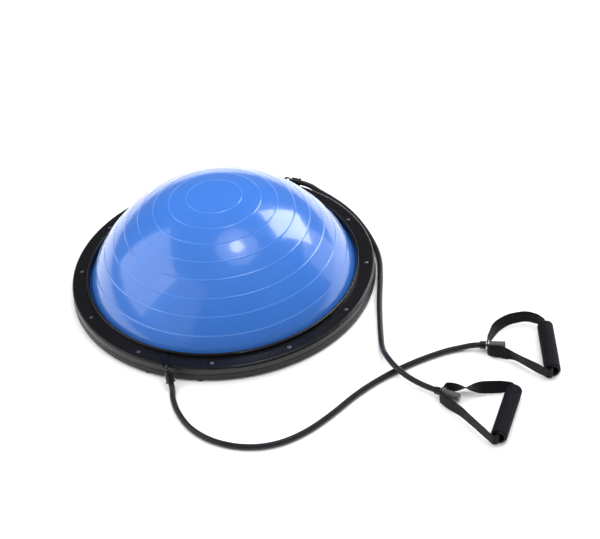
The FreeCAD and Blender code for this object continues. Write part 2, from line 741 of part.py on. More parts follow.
def main():
    os.makedirs("parts", exist_ok=True)
    for name, shape in parts().items():
        shape.exportStep("parts/" + name + ".step")


main()
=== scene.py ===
"""Looks of the balance dome trainer: camera, light, materials and the soft and moulded pieces.

Places are in the row frame, where the CAD model puts them. Lengths are in metres, unless a
comment says that they are in millimetres.
"""
import bmesh
import bpy
import json
import math
from mathutils import Matrix, Vector


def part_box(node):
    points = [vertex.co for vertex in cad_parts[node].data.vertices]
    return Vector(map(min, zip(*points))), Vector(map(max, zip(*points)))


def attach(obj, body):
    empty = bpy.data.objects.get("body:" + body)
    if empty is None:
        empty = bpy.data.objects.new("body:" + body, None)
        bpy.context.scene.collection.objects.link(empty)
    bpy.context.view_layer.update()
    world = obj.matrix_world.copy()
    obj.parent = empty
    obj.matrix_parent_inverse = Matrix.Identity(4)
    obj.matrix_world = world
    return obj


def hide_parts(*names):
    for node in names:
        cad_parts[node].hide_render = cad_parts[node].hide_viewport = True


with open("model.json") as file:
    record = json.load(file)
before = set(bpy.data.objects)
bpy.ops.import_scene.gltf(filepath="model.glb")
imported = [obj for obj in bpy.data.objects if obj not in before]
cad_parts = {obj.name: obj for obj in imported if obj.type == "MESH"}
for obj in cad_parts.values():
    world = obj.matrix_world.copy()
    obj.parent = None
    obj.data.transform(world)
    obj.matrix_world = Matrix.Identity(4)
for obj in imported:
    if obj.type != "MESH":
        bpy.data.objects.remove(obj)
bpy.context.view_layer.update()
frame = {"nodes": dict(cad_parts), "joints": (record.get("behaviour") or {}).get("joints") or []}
nodes = frame["nodes"]
joints = {joint["name"]: joint for joint in frame["joints"]}
UP = Vector((0, 0, 1))
MM = 0.001
WELD_DISTANCE = 1e-6


# ---- camera: the object is seen from in front and above ----
CAMERA_PLACE = Vector((0, -2.51759, 2.02339))
CAMERA_AIM = Vector((0.14609, -0.00118, 0))
CAMERA_ROLL = math.radians(-5.3127)
CAMERA_LENS = 100.574
SENSOR_WIDTH = 36


def add_camera():
    data = bpy.data.cameras.new("camera")
    data.lens = CAMERA_LENS
    data.sensor_width = SENSOR_WIDTH
    camera = bpy.data.objects.new("camera", data)
    turn = (CAMERA_AIM - CAMERA_PLACE).to_track_quat("-Z", "Y").to_matrix()
    turn = turn @ Matrix.Rotation(CAMERA_ROLL, 3, "Z")
    camera.matrix_world = Matrix.LocRotScale(CAMERA_PLACE, turn.to_quaternion(), None)
    bpy.context.scene.collection.objects.link(camera)
    bpy.context.scene.camera = camera


# ---- small helpers ----
def polar(radius, azimuth, z=0.0):
    angle = math.radians(azimuth)
    return Vector((radius * math.cos(angle), radius * math.sin(angle), z))


def add_object(name, data):
    piece = bpy.data.objects.new(name, data)
    bpy.context.scene.collection.objects.link(piece)
    return piece


def smooth_mesh(name, vertices, faces, marks=None):
    """A smooth mesh object that looks outwards; marks are (along, across) for its strap map."""
    mesh = bpy.data.meshes.new(name)
    mesh.from_pydata(vertices, [], faces)
    if marks:
        layer = mesh.uv_layers.new(name="strap")
        for loop in mesh.loops:
            layer.data[loop.index].uv = marks[loop.vertex_index]
    tidy = bmesh.new()
    tidy.from_mesh(mesh)
    bmesh.ops.remove_doubles(tidy, verts=tidy.verts, dist=WELD_DISTANCE)
    bmesh.ops.recalc_face_normals(tidy, faces=tidy.faces)
    tidy.to_mesh(mesh)
    tidy.free()
    mesh.shade_smooth()
    return add_object(name, mesh)


def lathe(name, profile, steps, origin=Vector(), axis=UP):
    """Turns a closed outline of (radius, height) points once round an axis."""
    side = axis.orthogonal().normalized()
    other = axis.cross(side)
    vertices, faces = [], []
    count = len(profile)
    for step in range(steps):
        angle = 2 * math.pi * step / steps
        outward = side * math.cos(angle) + other * math.sin(angle)
        vertices += [origin + outward * radius + axis * height for radius, height in profile]
    for step in range(steps):
        here, ahead = step * count, (step + 1) % steps * count
        for index in range(count):
            after = (index + 1) % count
            faces.append((here + index, here + after, ahead + after, ahead + index))
    return smooth_mesh(name, vertices, faces)


def finish_piece(piece, material, body, slot, *replaced):
    """Gives a new piece its material and its body, and hides the CAD nodes that it stands for; its
    slot is not used.
    """
    piece.data.materials.clear()
    piece.data.materials.append(material)
    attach(piece, body)
    if replaced:
        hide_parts(*replaced)
    return piece


# ---- node materials ----
class Finish:
    """A Principled material with its surface detail from object coordinates."""

    def __init__(self, name, colour, roughness, **sockets):
        self.material = bpy.data.materials.new(name)
        self.material.use_nodes = True
        self.tree = self.material.node_tree
        self.shader = self.tree.nodes["Principled BSDF"]
        self.shader.inputs["Base Color"].default_value = (*colour, 1)
        self.shader.inputs["Roughness"].default_value = roughness
        self.colour = colour
        for socket, value in sockets.items():
            self.shader.inputs[socket.replace("_", " ")].default_value = value
        self.place = self.add("ShaderNodeTexCoord").outputs["Object"]
        self.normal = None

    def add(self, kind, settings=(), **inputs):
        node = self.tree.nodes.new(kind)
        for setting, value in dict(settings).items():
            setattr(node, setting, value)
        for name, value in inputs.items():
            socket = node.inputs[name.replace("_", " ")]
            if isinstance(value, bpy.types.NodeSocket):
                self.tree.links.new(value, socket)
            else:
                socket.default_value = value
        return node

    def link(self, output, socket):
        self.tree.links.new(output, self.shader.inputs[socket])

    def noise(self, scale, detail=3.0, stretch=(1, 1, 1)):
        """Soft noise from 0 to 1; scale is in features per metre."""
        spread = self.add("ShaderNodeMapping", Vector=self.place, Scale=stretch)
        return self.add("ShaderNodeTexNoise", Vector=spread.outputs[0], Scale=scale,
                        Detail=detail).outputs["Fac"]

    def ramp(self, value, low, high, start=0.3, end=0.7):
        """Remaps a value between two numbers."""
        node = self.add("ShaderNodeMapRange", Value=value)
        node.inputs["From Min"].default_value = start
        node.inputs["From Max"].default_value = end
        node.inputs["To Min"].default_value = low
        node.inputs["To Max"].default_value = high
        return node.outputs[0]

    def shade(self, value, dark, light):
        """Varies the base colour between two shares of itself."""
        mix = self.add("ShaderNodeMix", {"data_type": "RGBA"})
        for socket, share in ((mix.inputs[6], dark), (mix.inputs[7], light)):
            socket.default_value = (*[part * share for part in self.colour], 1)
        self.tree.links.new(value, mix.inputs[0])
        self.link(mix.outputs[2], "Base Color")
        return mix

    def bump(self, height, depth, strength=1.0):
        """Adds relief of that depth in metres to what the shader has already."""
        node = self.add("ShaderNodeBump", Height=height, Distance=depth, Strength=strength)
        if self.normal:
            self.tree.links.new(self.normal, node.inputs["Normal"])
        self.normal = node.outputs[0]
        self.link(self.normal, "Normal")

    def vary_roughness(self, value, low, high):
        self.link(self.ramp(value, low, high), "Roughness")


def moulded(name, colour, roughness, grain_depth=0.00004, grain_scale=1400.0, shine=0.5):
    """Moulded plastic or rubber: fine grain, faint cloudiness and handling marks."""
    finish = Finish(name, colour, roughness)
    finish.shader.inputs["Specular IOR Level"].default_value = shine
    cloud = finish.noise(14.0, 4.0)
    finish.shade(finish.ramp(cloud, 0.0, 1.0), 0.86, 1.14)
    marks = finish.noise(120.0, 5.0)
    finish.vary_roughness(marks, roughness * 0.88, min(1.0, roughness * 1.15))
    finish.bump(finish.noise(grain_scale, 2.0), grain_depth)
    return finish.material


def metal(name, colour, roughness):
    """Plated or blackened steel with a fine brushed grain."""
    finish = Finish(name, colour, roughness, Metallic=1.0)
    finish.shade(finish.ramp(finish.noise(260.0, 4.0), 0.0, 1.0), 0.82, 1.1)
    finish.vary_roughness(finish.noise(900.0, 2.0, (1, 1, 9)), roughness * 0.75, roughness * 1.3)
    finish.bump(finish.noise(2600.0, 1.0, (1, 1, 6)), 0.00001)
    return finish.material


def dome_material():
    """Glossy blue PVC film, a little cloudy inside, with a painted highlight on its mould rings.
    """
    finish = Finish("dome_pvc", (0.04, 0.162, 0.56), 0.22, Coat_Weight=0.6, Coat_Roughness=0.06,
                    Coat_IOR=1.5, Subsurface_Weight=0.08, Subsurface_Scale=0.006)
    finish.shader.inputs["Subsurface Radius"].default_value = (0.3, 0.6, 1.0)
    cloud = finish.ramp(finish.noise(5.0, 3.0), 0.0, 1.0)
    mix = finish.shade(cloud, 0.94, 1.06)
    rib = finish.add("ShaderNodeAttribute", {"attribute_name": "mould_ring_highlight"}).outputs["Fac"]
    # The mould rings are painted a paler blue: a painted highlight where the raised lines catch
    # the light.
    lift = finish.add("ShaderNodeMix", {"data_type": "RGBA"})
    finish.tree.links.new(mix.outputs[2], lift.inputs[6])
    lift.inputs[7].default_value = (0.085, 0.26, 0.74, 1)
    finish.tree.links.new(finish.ramp(rib, 0.0, 0.6, 0.0, 1.0), lift.inputs[0])
    finish.link(lift.outputs[2], "Base Color")
    finish.vary_roughness(finish.noise(60.0, 4.0), 0.16, 0.25)
    finish.bump(finish.noise(9.0, 2.0), 0.0006, 0.5)
    finish.bump(finish.noise(900.0, 2.0), 0.00002)
    return finish.material


WEAVE_ZIGZAG = 0.0025          # across the strap, where the rib's slant changes side
WEAVE_RIB_PITCH = 0.0017
WEAVE_CORD_PITCH = 0.00125


def webbing_material():
    """Black nylon webbing: a herringbone rib across the strap, from its length and width."""
    finish = Finish("webbing", (0.0032, 0.0031, 0.0037), 0.6, Sheen_Weight=0.06,
                    Sheen_Roughness=0.4)
    finish.shader.inputs["Specular IOR Level"].default_value = 0.18
    uv = finish.add("ShaderNodeUVMap", {"uv_map": "strap"}).outputs[0]
    apart = finish.add("ShaderNodeSeparateXYZ", Vector=uv)
    along, across = apart.outputs["X"], apart.outputs["Y"]

    def maths(operation, first, second):
        node = finish.add("ShaderNodeMath", {"operation": operation})
        for socket, value in zip(node.inputs, (first, second)):
            if isinstance(value, bpy.types.NodeSocket):
                finish.tree.links.new(value, socket)
            else:
                socket.default_value = value
        return node.outputs[0]

    zigzag = maths("PINGPONG", across, WEAVE_ZIGZAG)
    slanted = maths("ADD", along, zigzag)
    ribs = maths("SINE", maths("MULTIPLY", slanted, 2 * math.pi / WEAVE_RIB_PITCH), 0.0)
    cords = maths("SINE", maths("MULTIPLY", across, 2 * math.pi / WEAVE_CORD_PITCH), 0.0)
    height = maths("ADD", ribs, maths("MULTIPLY", cords, 0.5))
    # The weave's grooves are painted darker and its rib tops lighter: painted shade and painted
    # highlight on the relief that the bump also draws.
    finish.shade(finish.ramp(height, 0.0, 1.0, -1.5, 1.5), 0.55, 1.7)
    finish.vary_roughness(finish.noise(400.0, 4.0), 0.5, 0.72)
    finish.bump(height, 0.00012)
    finish.bump(finish.noise(3500.0, 2.0), 0.00003)
    return finish.material


def foam_material():
    """Closed-cell foam: dark skin pitted with fine cells."""
    finish = Finish("foam", (0.0042, 0.004, 0.0066), 0.72)
    finish.shader.inputs["Specular IOR Level"].default_value = 0.16
    cells = finish.add("ShaderNodeTexVoronoi", Vector=finish.place, Scale=1500.0)
    pits = finish.ramp(cells.outputs["Distance"], 0.0, 1.0, 0.1, 0.6)
    finish.shade(finish.ramp(finish.noise(180.0, 5.0), 0.0, 1.0), 0.75, 1.45)
    finish.vary_roughness(finish.noise(500.0, 3.0), 0.66, 0.84)
    finish.bump(pits, 0.00008)
    finish.bump(finish.noise(240.0, 3.0), 0.00015, 0.6)
    return finish.material


def tube_material(name, colour, roughness):
    """Extruded rubber: satin, with a faint mottled tone that is partly painted sheen."""
    finish = Finish(name, colour, roughness)
    finish.shader.inputs["Specular IOR Level"].default_value = 0.32
    # Faint colour mottling: uneven tone, and partly a painted sheen that stands in for the
    # rubber's streaky highlights.
    finish.shade(finish.ramp(finish.noise(70.0, 5.0), 0.0, 1.0), 0.8, 1.3)
    finish.vary_roughness(finish.noise(220.0, 4.0), roughness * 0.85, roughness * 1.2)
    finish.bump(finish.noise(1100.0, 3.0), 0.00004)
    return finish.material


FINISHES = {
    "dome_pvc": dome_material(),
    "membrane_pvc": moulded("membrane_pvc", (0.045, 0.16, 0.6), 0.4),
    "valve_pvc": moulded("valve_pvc", (0.05, 0.19, 0.68), 0.3),
    "plug_plastic": moulded("plug_plastic", (0.008, 0.008, 0.009), 0.34),
    "platform_plastic": moulded("platform_plastic", (0.0062, 0.006, 0.0078), 0.38, 0.00002,
                                shine=0.38),
    "ring_plastic": moulded("ring_plastic", (0.0052, 0.0052, 0.0068), 0.3, 0.00001, shine=0.45),
    "foot_rubber": moulded("foot_rubber", (0.02, 0.02, 0.02), 0.7, 0.00006),
    "screw_steel": metal("screw_steel", (0.5, 0.5, 0.52), 0.3),
    "hook_plastic": moulded("hook_plastic", (0.004, 0.004, 0.0045), 0.22, 0.00002),
    "ferrule_plastic": moulded("ferrule_plastic", (0.004, 0.004, 0.0045), 0.12, 0.00001,
                               shine=0.7),
    "tube_rubber": tube_material("tube_rubber", (0.012, 0.0116, 0.0145), 0.32),
    "collar_rubber": tube_material("collar_rubber", (0.005, 0.005, 0.006), 0.42),
    "stopper_rubber": tube_material("stopper_rubber", (0.07, 0.07, 0.075), 0.3),
    "webbing": webbing_material(),
    "eyelet_steel": metal("eyelet_steel", (0.88, 0.88, 0.9), 0.32),
    "core_plastic": moulded("core_plastic", (0.012, 0.012, 0.013), 0.4),
    "foam": foam_material(),
    "thread": moulded("thread", (0.02, 0.02, 0.022), 0.6, 0.00003, 5000.0),
}
NODE_FINISHES = {
    "base_platform": "platform_plastic", "rubber_feet": "foot_rubber",
    "base_membrane": "membrane_pvc", "valve_seat": "valve_pvc", "valve_plug": "plug_plastic",
    "clamp_ring": "ring_plastic", "ring_screws": "screw_steel",
    "front_hook": "hook_plastic", "rear_hook": "hook_plastic",
    "front_ferrule": "ferrule_plastic", "rear_ferrule": "ferrule_plastic",
}
for side in ("front", "rear"):
    NODE_FINISHES[side + "_tube_collar"] = "collar_rubber"
    NODE_FINISHES[side + "_tube_stopper"] = "stopper_rubber"
    NODE_FINISHES[side + "_eyelet"] = "eyelet_steel"
    NODE_FINISHES[side + "_eyelet_washer"] = "eyelet_steel"
    NODE_FINISHES[side + "_grip_core"] = "core_plastic"


def paint_cad_nodes():
    for node, finish in NODE_FINISHES.items():
        nodes[node].data.materials.clear()
        nodes[node].data.materials.append(FINISHES[finish])


# ---- resistance tubes ----
TUBE_RADIUS = 0.00525
FLOOR_TUBE_Z = 5.5             # millimetres, as the routes are
FRONT_ROUTE = [
    (-118.84, -291.35, 14.0), (-116.87, -300.58, FLOOR_TUBE_Z), (-119, -322, FLOOR_TUBE_Z),
    (-112, -362, FLOOR_TUBE_Z), (-92, -408, FLOOR_TUBE_Z), (-55, -446, FLOOR_TUBE_Z),
    (-4, -470, FLOOR_TUBE_Z), (50, -473, FLOOR_TUBE_Z), (104, -453, FLOOR_TUBE_Z),
    (155, -416, FLOOR_TUBE_Z), (206, -371, FLOOR_TUBE_Z), (262, -336, FLOOR_TUBE_Z),
    (322, -309, FLOOR_TUBE_Z), (376, -293, FLOOR_TUBE_Z), (405, -290.6, 6.3),
    (428.74, -294.11, 12.0), (449.09, -299.26, 12.44)]
REAR_ROUTE = [
    (177.84, 247.86, 24.82), (193.83, 244.46, 20.13), (212, 226, 13.5), (238, 200, 7.5),
    (262, 163, FLOOR_TUBE_Z), (281, 114, FLOOR_TUBE_Z), (295, 56, FLOOR_TUBE_Z),
    (302, -4, FLOOR_TUBE_Z), (292.5, -70, FLOOR_TUBE_Z), (280.5, -134, FLOOR_TUBE_Z),
    (273.5, -186, FLOOR_TUBE_Z), (268.5, -228, FLOOR_TUBE_Z), (265, -266, 8.5),
    (268, -302, 19.5), (281, -338, 19.5), (303, -368, 16), (331.69, -391.76, 12.06),
    (348.59, -404.22, 12.44)]


def add_tube(side, route):
    """A tube as one smooth curve from its ferrule to its stopper."""
    data = bpy.data.curves.new(side + "_hose", "CURVE")
    data.dimensions = "3D"
    data.bevel_depth = TUBE_RADIUS
    data.bevel_resolution = 6
    data.use_fill_caps = True
    spline = data.splines.new("NURBS")
    spline.points.add(len(route) - 1)
    for point, place in zip(spline.points, route):
        point.co = (*(Vector(place) * MM), 1)
    spline.order_u = 3
    spline.use_endpoint_u = True
    spline.resolution_u = 10
    hose = add_object(side + "_hose", data)
    finish_piece(hose, FINISHES["tube_rubber"], "trainer", "tube_rubber", side + "_tube")


add_camera()
add_tube("front", FRONT_ROUTE)
add_tube("rear", REAR_ROUTE)


# ---- air dome ----
MOULD_RING_RADII = [51.8, 86.3, 116.8, 147.3, 173.9, 198.8, 219.6, 238.0]  # millimetres
MOULD_RING_HEIGHT = 0.00045
MOULD_RING_WIDTH = 0.0009
DOME_FOOT_RADIUS = 0.2553
DOME_WALL = 0.003
FLANGE_THICKNESS = 0.003
VALVE_SEAT_RADIUS = 0.010
VALVE_CUT_DEPTH = 0.03         # to each side of the valve seat's middle
VALVE_CUT_STEPS = 48
DOME_STEPS = 288
PLAIN_STEPS = 56               # from the dome's top to its foot, outside
INSIDE_STEPS = 24
RING_SIDE_STEPS = 6            # over each side of a mould ring


class DomeShape:
    """The dome's sphere, worked out from its foot and its top."""

    def __init__(self):
        low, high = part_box("dome_shell")
        self.flange_z = low.z
        self.flange_radius = high.x
        self.top_z = high.z
        self.foot_z = low.z + FLANGE_THICKNESS
        rise = self.top_z - self.foot_z
        self.radius = (DOME_FOOT_RADIUS ** 2 + rise ** 2) / (2 * rise)
        self.centre_z = self.top_z - self.radius
        self.foot_angle = math.asin(DOME_FOOT_RADIUS / self.radius)
        self.ring_angles = [math.asin(r * MM / self.radius) for r in MOULD_RING_RADII]

    def ring_share(self, angle):
        """How much of a mould ring stands at this angle from the top, from 0 to 1."""
        nearest = min(abs(angle - ring) for ring in self.ring_angles) * self.radius
        return math.exp(-(nearest / MOULD_RING_WIDTH) ** 2)

    def angles(self):
        """Angles from the top: coarse on the plain skin and fine over each mould ring."""
        coarse = [self.foot_angle * index / PLAIN_STEPS for index in range(PLAIN_STEPS + 1)]
        near = 3 * MOULD_RING_WIDTH / self.radius
        keep = [a for a in coarse if min(abs(a - ring) for ring in self.ring_angles) > near]
        fine = [ring + near * step / RING_SIDE_STEPS for ring in self.ring_angles
                for step in range(-RING_SIDE_STEPS, RING_SIDE_STEPS + 1)]
        return sorted(keep + fine)

    def skin(self, angle, inset=0.0, ring_height=0.0):
        reach = self.radius - inset + ring_height * self.ring_share(angle)
        return reach * math.sin(angle), self.centre_z + reach * math.cos(angle)


def add_dome():
    shape = DomeShape()
    outside = [shape.skin(angle, 0.0, MOULD_RING_HEIGHT) for angle in shape.angles()]
    inside = [shape.skin(shape.foot_angle * index / INSIDE_STEPS, DOME_WALL)
              for index in range(INSIDE_STEPS + 1)]
    flange = [(shape.flange_radius, shape.foot_z), (shape.flange_radius, shape.flange_z),
              (inside[-1][0], shape.flange_z)]
    profile = outside + flange + inside[::-1]
    dome = lathe("dome_skin", profile, DOME_STEPS)
    cut_valve_hole(dome)
    # Each vertex's share of a mould ring: the mask for the rings' painted highlight.
    mark = dome.data.attributes.new("mould_ring_highlight", "FLOAT", "POINT")
    centre = Vector((0, 0, shape.centre_z))
    for vertex in dome.data.vertices:
        way = vertex.co - centre
        outer = way.length > shape.radius - DOME_WALL / 2 and vertex.co.z > shape.foot_z
        share = shape.ring_share(way.angle(UP)) if outer else 0.0
        mark.data[vertex.index].value = share
    finish_piece(dome, FINISHES["dome_pvc"], "trainer", "dome_pvc", "dome_shell")


def cut_valve_hole(dome):
    """Opens the dome's wall where the valve seat is bonded in."""
    low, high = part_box("valve_seat")
    middle = (low + high) / 2
    way = Vector(joints["valve_plug_pull"]["axis"])
    outline = [(0, -VALVE_CUT_DEPTH), (VALVE_SEAT_RADIUS, -VALVE_CUT_DEPTH),
               (VALVE_SEAT_RADIUS, VALVE_CUT_DEPTH), (0, VALVE_CUT_DEPTH)]
    cutter = lathe("valve_hole", outline, VALVE_CUT_STEPS, middle, way)
    cut = dome.modifiers.new("valve_hole", "BOOLEAN")
    cut.operation = "DIFFERENCE"
    cut.object = cutter
    cut.solver = "EXACT"
    bpy.context.view_layer.update()
    evaluated = dome.evaluated_get(bpy.context.evaluated_depsgraph_get())
    final = bpy.data.meshes.new_from_object(evaluated)
    dome.modifiers.clear()
    dome.data = final
    bpy.data.objects.remove(cutter)


# ---- handles ----
STRAP_WIDTH = 0.0222
STRAP_WIDTH_IN_GRIP = 0.0196
STRAP_THICKNESS = 0.0018
FOAM_RADIUS = 0.01434
FOAM_BORE = 0.01184
WIDENING_LENGTH = 0.01         # over which the webbing spreads outside the pipe
ACROSS_SHIFT = 1.0             # keeps the strap map's values across the strap above zero
SELVEDGE_STEPS = 6
# From here to the end of this group in millimetres, as the strap outlines are.
GRIP_LENGTH = 120.0
TOP_OVERSHOOT = 7.0            # from the grip's ends to the strap's corners beyond them
LOW_OVERSHOOT = 15.84
GRIP_TURN_RADIUS = 6.5
STRAP_STEP = 2.0               # between points along the strap
APEX_HALF = 14.5               # from the eyelet to the strap's corners beside it
APEX_TURN_RADIUS = 5.0


class Handle:
    """A handle's own frame: origin at its eyelet, X along its swivel axis and Z up.

    Each side of the strap is a row of (x, y, turn radius) and its twists are a row of
    (distance along that side from the eyelet, angle), in millimetres and degrees.
    """

    def __init__(self, side, top_side, low_side, top_twists, low_twists):
        self.side = side
        self.body = side + "_handle"
        swivel = joints[side + "_handle_swivel"]
        spin = joints[side + "_grip_spin"]
        self.eyelet = Vector(swivel["pos_m"])
        self.axis = Vector(swivel["axis"])
        self.across = UP.cross(self.axis).normalized()
        self.up = self.axis.cross(self.across)
        self.grip_middle = Vector(spin["pos_m"])
        self.grip_axis = Vector(spin["axis"])
        self.top_side = top_side
        self.low_side = low_side
        self.top_twists = top_twists
        self.low_twists = low_twists

    def to_row(self, x, y):
        return self.eyelet + self.axis * x + self.across * y

    def flat(self, vector):
        """A vector's parts along the swivel axis and across it, in millimetres."""
        return Vector((vector.dot(self.axis), vector.dot(self.across))) / MM

    def corners(self):
        """The strap's outline from the eyelet and back to it."""
        line = self.flat(self.grip_axis).normalized()
        middle = self.flat(self.grip_middle - self.eyelet)
        top = middle + line * (GRIP_LENGTH / 2 + TOP_OVERSHOOT)
        low = middle - line * (GRIP_LENGTH / 2 + LOW_OVERSHOOT)
        turns = [(*top, GRIP_TURN_RADIUS), (*low, GRIP_TURN_RADIUS)]
        return [(0, 0, 0), *self.top_side, *turns, *self.low_side,
                (0, -APEX_HALF, APEX_TURN_RADIUS), (0, 0, 0)]

    def openness(self, place):
        """0 inside the grip's pipe and 1 from a little way outside it."""
        offset = place - self.grip_middle
        along = offset.dot(self.grip_axis)
        past_end = abs(along) - GRIP_LENGTH / 2 * MM
        beside = (offset - self.grip_axis * along).length - FOAM_RADIUS
        return min(1.0, max(0.0, past_end, beside) / WIDENING_LENGTH)


def rounded_line(corners, step):
    """Points every step or so along straight runs joined by tangent arcs."""
    places = [Vector(corner[:2]) for corner in corners]
    line = [places[0]]
    for before, corner, after, (_, _, radius) in zip(places, places[1:], places[2:], corners[1:]):
        back = (before - corner).normalized()
        ahead = (after - corner).normalized()
        half_turn = (math.pi - back.angle(ahead)) / 2
        start = corner + back * radius * math.tan(half_turn)
        centre = corner + (back + ahead).normalized() * radius / math.cos(half_turn)
        end = corner + ahead * radius * math.tan(half_turn)
        swing = (start - centre).angle_signed(end - centre)
        count = max(3, round(abs(swing) * radius / step))
        spoke = start - centre
        line += run_points(line[-1], start, step)
        line += [centre + Matrix.Rotation(-swing * index / count, 2) @ spoke
                 for index in range(count + 1)][1:]
    return line + run_points(line[-1], places[-1], step)


def run_points(start, end, step):
    count = max(1, round((end - start).length / step))
    return [start.lerp(end, (index + 1) / count) for index in range(count)]


def eased(distance, keys):
    """A smooth value between (distance, value) keys; the last key's value holds beyond it."""
    for (start, from_value), (end, to_value) in zip(keys, keys[1:]):
        if distance <= end:
            part = (distance - start) / (end - start)
            return from_value + (to_value - from_value) * part * part * (3 - 2 * part)
    return keys[-1][1]


def strap_section(width, thickness):
    """The webbing's section: flat faces and rounded selvedges, as (across, through) points."""
    half, deep = width / 2, thickness / 2
    edge = [(half - deep + deep * math.sin(a), deep * math.cos(a))
            for a in [math.pi * index / SELVEDGE_STEPS for index in range(SELVEDGE_STEPS + 1)]]
    flat = [(x, -deep) for x in (0.5 * half, 0.0, -0.5 * half)]
    other = [(-x, -z) for x, z in edge]
    return edge + flat + other + [(-x, -z) for x, z in flat]


class StrapLine:
    """The strap's centreline with its width and thickness directions at each point."""

    def __init__(self, handle):
        self.handle = handle
        flat = rounded_line(handle.corners(), STRAP_STEP)
        self.stations = [0.0]
        for before, after in zip(flat, flat[1:]):
            self.stations.append(self.stations[-1] + (after - before).length)
        self.length = self.stations[-1]
        self.centres = [handle.to_row(x * MM, y * MM) for x, y in flat]
        self.wide, self.through = [], []
        for index, station in enumerate(self.stations):
            before, after = flat[max(0, index - 1)], flat[min(len(flat) - 1, index + 1)]
            ahead = (after - before).normalized()
            side = handle.across * ahead.x - handle.axis * ahead.y
            angle = math.radians(self.twist(station))
            self.wide.append(handle.up * math.cos(angle) + side * math.sin(angle))
            self.through.append(side * math.cos(angle) - handle.up * math.sin(angle))

    def twist(self, station):
        if station < self.length / 2:
            return eased(station, self.handle.top_twists)
        return eased(self.length - station, self.handle.low_twists)

    def ribbon(self, name, start, end, lift=0.0, width=None):
        """Webbing between two distances along the strap, raised by lift off its centreline."""
        picked = [index for index, s in enumerate(self.stations) if start <= s <= end]
        vertices, faces, marks = [], [], []
        for index in picked:
            centre = self.centres[index] + self.through[index] * lift
            openness = self.handle.openness(self.centres[index])
            full = STRAP_WIDTH_IN_GRIP + (STRAP_WIDTH - STRAP_WIDTH_IN_GRIP) * openness
            section = strap_section(width or full, STRAP_THICKNESS)
            vertices += [centre + self.wide[index] * x + self.through[index] * z
                         for x, z in section]
            marks += [(self.stations[index] * MM, x + ACROSS_SHIFT) for x, _ in section]
        size, rows = len(section), len(picked)
        for row in range(rows - 1):
            here, ahead = row * size, (row + 1) * size
            for index in range(size):
                after = (index + 1) % size
                faces.append((here + index, here + after, ahead + after, ahead + index))
        faces.append(tuple(range(size)))
        faces.append(tuple((rows - 1) * size + index for index in reversed(range(size))))
        return smooth_mesh(name, vertices, faces, marks)

    def at(self, station):
        """The strap's place, width way and outward way at a distance along it."""
        index = min(range(len(self.stations)), key=lambda i: abs(self.stations[i] - station))
        ahead = self.centres[min(index + 1, len(self.centres) - 1)] - self.centres[index - 1]
        along = (station - self.stations[index]) * MM
        return (self.centres[index] + ahead.normalized() * along, ahead.normalized(),
                self.wide[index], self.through[index])


# ---- the sewn overlap of a strap's two ends ----
OVERLAP_START = 52.0           # millimetres before the strap's end at the eyelet
OVERLAP_LENGTH = 30.0          # millimetres
STITCH_PITCH = 2.6             # millimetres
SEAM_INSET = 4.0               # millimetres from the overlap's edges to the stitched box
OVERLAP_LIFT = 0.0016
OVERLAP_TRIM = 0.0008          # how much narrower the top layer is
STITCH_LENGTH = 0.0019
STITCH_RADIUS = 0.00028
STITCH_RINGS = 7
STITCH_SIDES = 6
STITCH_END_SHARE = 0.04        # of the thread's section that its ends keep


def stitch_shape():
    """One stitch: a short thread, thickest in its middle, along +X."""
    rings, sides = STITCH_RINGS, STITCH_SIDES
    vertices, faces = [], []
    for ring in range(rings):
        share = ring / (rings - 1)
        radius = STITCH_RADIUS * math.sqrt(max(STITCH_END_SHARE, math.sin(math.pi * share)))
        for side in range(sides):
            angle = 2 * math.pi * side / sides
            vertices.append(Vector(((share - 0.5) * STITCH_LENGTH,
                                    radius * math.cos(angle), radius * math.sin(angle))))
    for ring in range(rings - 1):
        for side in range(sides):
            after = (side + 1) % sides
            faces.append((ring * sides + side, ring * sides + after,
                          (ring + 1) * sides + after, (ring + 1) * sides + side))
    faces.append(tuple(reversed(range(sides))))
    faces.append(tuple((rings - 1) * sides + side for side in range(sides)))
    return vertices, faces


def seam_lines():
    """The box and the cross of the seam, as ((along, across), (along, across)) lines."""
    low, high = SEAM_INSET, OVERLAP_LENGTH - SEAM_INSET
    side = STRAP_WIDTH / MM / 2 - SEAM_INSET
    box = [(low, -side), (high, -side), (high, side), (low, side)]
    return list(zip(box, box[1:] + box[:1])) + [(box[0], box[2]), (box[1], box[3])]


def add_stitches(line, start, lift):
    shape, shape_faces = stitch_shape()
    vertices, faces = [], []
    for (from_x, from_y), (to_x, to_y) in seam_lines():
        run = math.hypot(to_x - from_x, to_y - from_y)
        for step in range(1, int(run / STITCH_PITCH)):
            share = step * STITCH_PITCH / run
            along = from_x + (to_x - from_x) * share
            aside = (from_y + (to_y - from_y) * share) * MM
            place, ahead, wide, out = line.at(start + along)
            way = (ahead * (to_x - from_x) + wide * (to_y - from_y)).normalized()
            other = out.cross(way)
            middle = place + wide * aside + out * lift
            base = len(vertices)
            vertices += [middle + way * v.x + other * v.y + out * v.z for v in shape]
            faces += [tuple(base + index for index in face) for face in shape_faces]
    return smooth_mesh(line.handle.side + "_strap_stitches", vertices, faces)


def add_strap(handle):
    line = StrapLine(handle)
    strap = line.ribbon(handle.side + "_webbing", 0.0, line.length)
    finish_piece(strap, FINISHES["webbing"], handle.body, "webbing", handle.side + "_strap")
    start = line.length - OVERLAP_START
    overlap = line.ribbon(handle.side + "_strap_overlap", start, start + OVERLAP_LENGTH,
                          OVERLAP_LIFT, STRAP_WIDTH - OVERLAP_TRIM)
    finish_piece(overlap, FINISHES["webbing"], handle.body, "webbing")
    stitches = add_stitches(line, start, OVERLAP_LIFT + STRAP_THICKNESS / 2)
    finish_piece(stitches, FINISHES["thread"], handle.body, "webbing")


# ---- foam grips ----
FOAM_END_ROUND = 0.002
FOAM_ROUND_STEPS = 6
FOAM_BODY_STEPS = 40
FOAM_BODY_SHARE = 0.98         # of the grip's length, over which the side's rings are spread
FOAM_SIDES = 64


